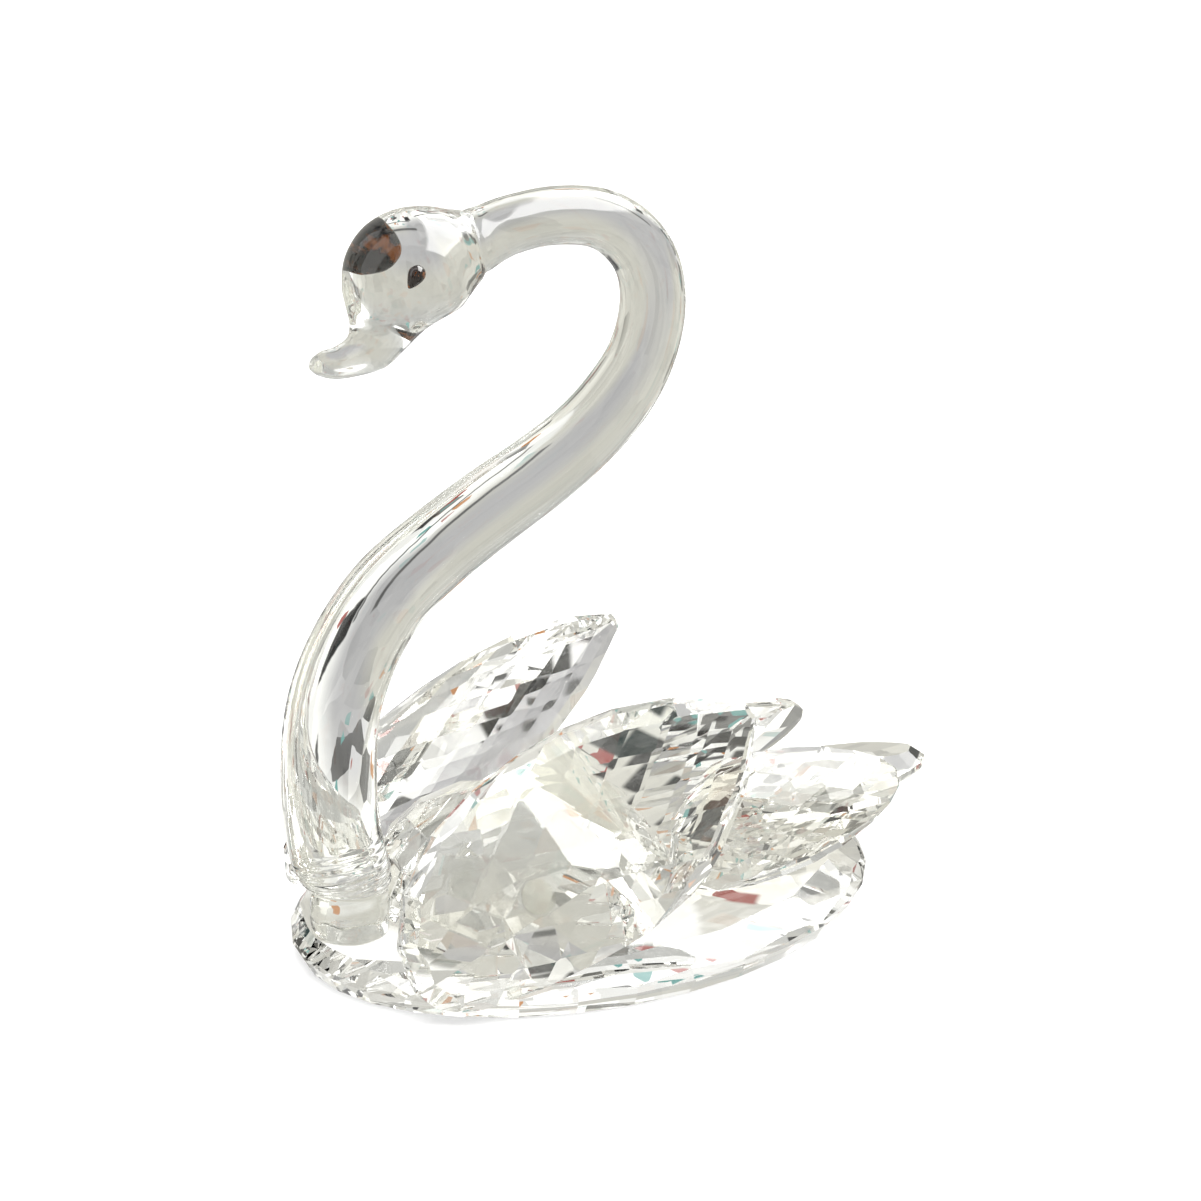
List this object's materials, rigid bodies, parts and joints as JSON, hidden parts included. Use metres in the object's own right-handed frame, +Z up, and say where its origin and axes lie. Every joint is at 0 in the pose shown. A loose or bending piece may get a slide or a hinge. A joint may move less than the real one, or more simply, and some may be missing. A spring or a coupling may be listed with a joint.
{
  "type": "crystal swan figurine",
  "caption": "Clear crystal swan with a curved glass neck, leaf-shaped faceted wings and tail, on a faceted oval base.",
  "frame": {"origin": "centre of the base stone's flat underside", "axes": "+Z up, the swan faces -X and its left side is -Y"},
  "size_m": [0.0869, 0.052, 0.09],
  "materials": {
    "cut_crystal": "polished facets",
    "drawn_glass": "fire polished",
    "eye_glass": "gloss",
    "cured_glue": "clear cured adhesive"
  },
  "bodies": {
    "root": {"base_stone": "cut_crystal", "body_stone": "cut_crystal", "wing_left": "cut_crystal", "wing_right": "cut_crystal", "tail_left": "cut_crystal", "tail_right": "cut_crystal", "tail_middle": "cut_crystal", "neck_stub": "drawn_glass", "neck": "drawn_glass", "eye_left": "eye_glass", "eye_right": "eye_glass", "stub_glue": "cured_glue", "neck_glue": "cured_glue", "body_glue": "cured_glue", "wing_left_glue": "cured_glue", "wing_right_glue": "cured_glue", "tail_glue": "cured_glue"}
  },
  "joints": []
}
